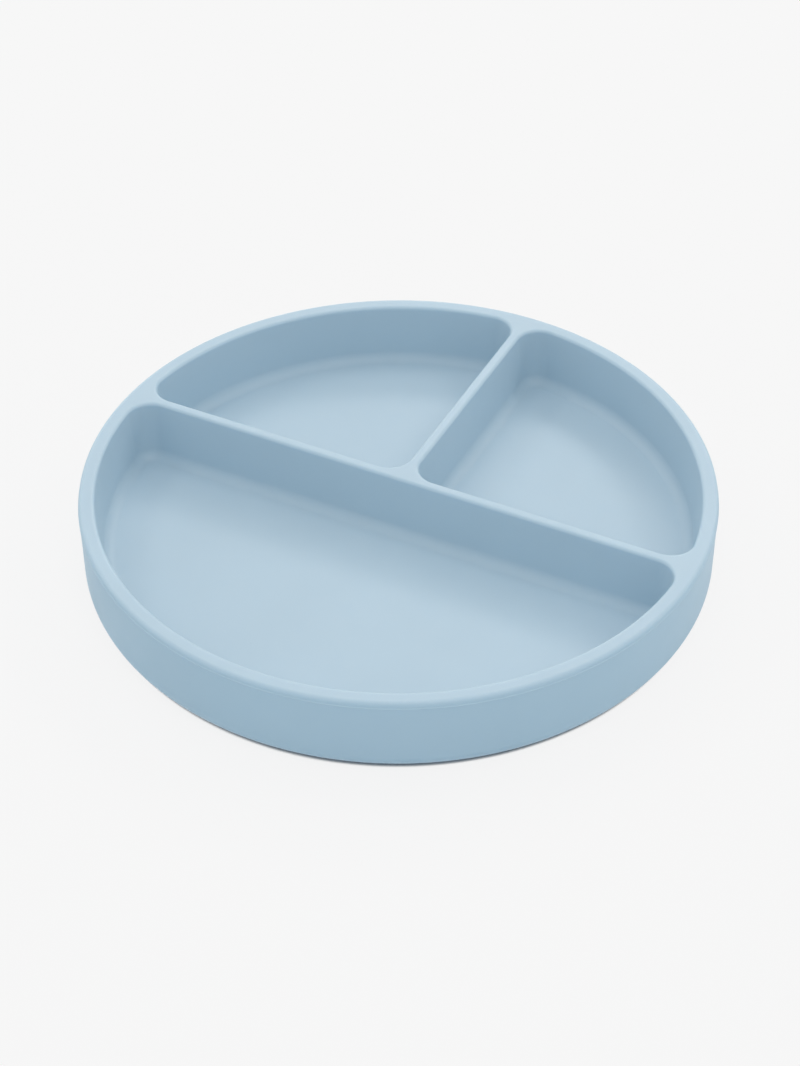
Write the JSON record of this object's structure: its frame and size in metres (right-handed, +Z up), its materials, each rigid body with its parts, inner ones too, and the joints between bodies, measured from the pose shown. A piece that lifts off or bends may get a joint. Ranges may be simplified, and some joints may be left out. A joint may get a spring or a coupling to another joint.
{
  "type": "silicone divided plate",
  "caption": "Round child's plate moulded in one piece from silicone rubber, with a large and two smaller compartments level with its rim and a suction lip under the floor.",
  "frame": {"origin": "on the table, under the centre of the round plate", "axes": "+Z up, +X along the main divider, -Y towards the middle of the large compartment"},
  "size_m": [0.1904, 0.1904, 0.027],
  "materials": {
    "silicone": "smooth matt silicone rubber, pale blue all through"
  },
  "bodies": {
    "root": {"plate": "silicone"}
  },
  "joints": []
}
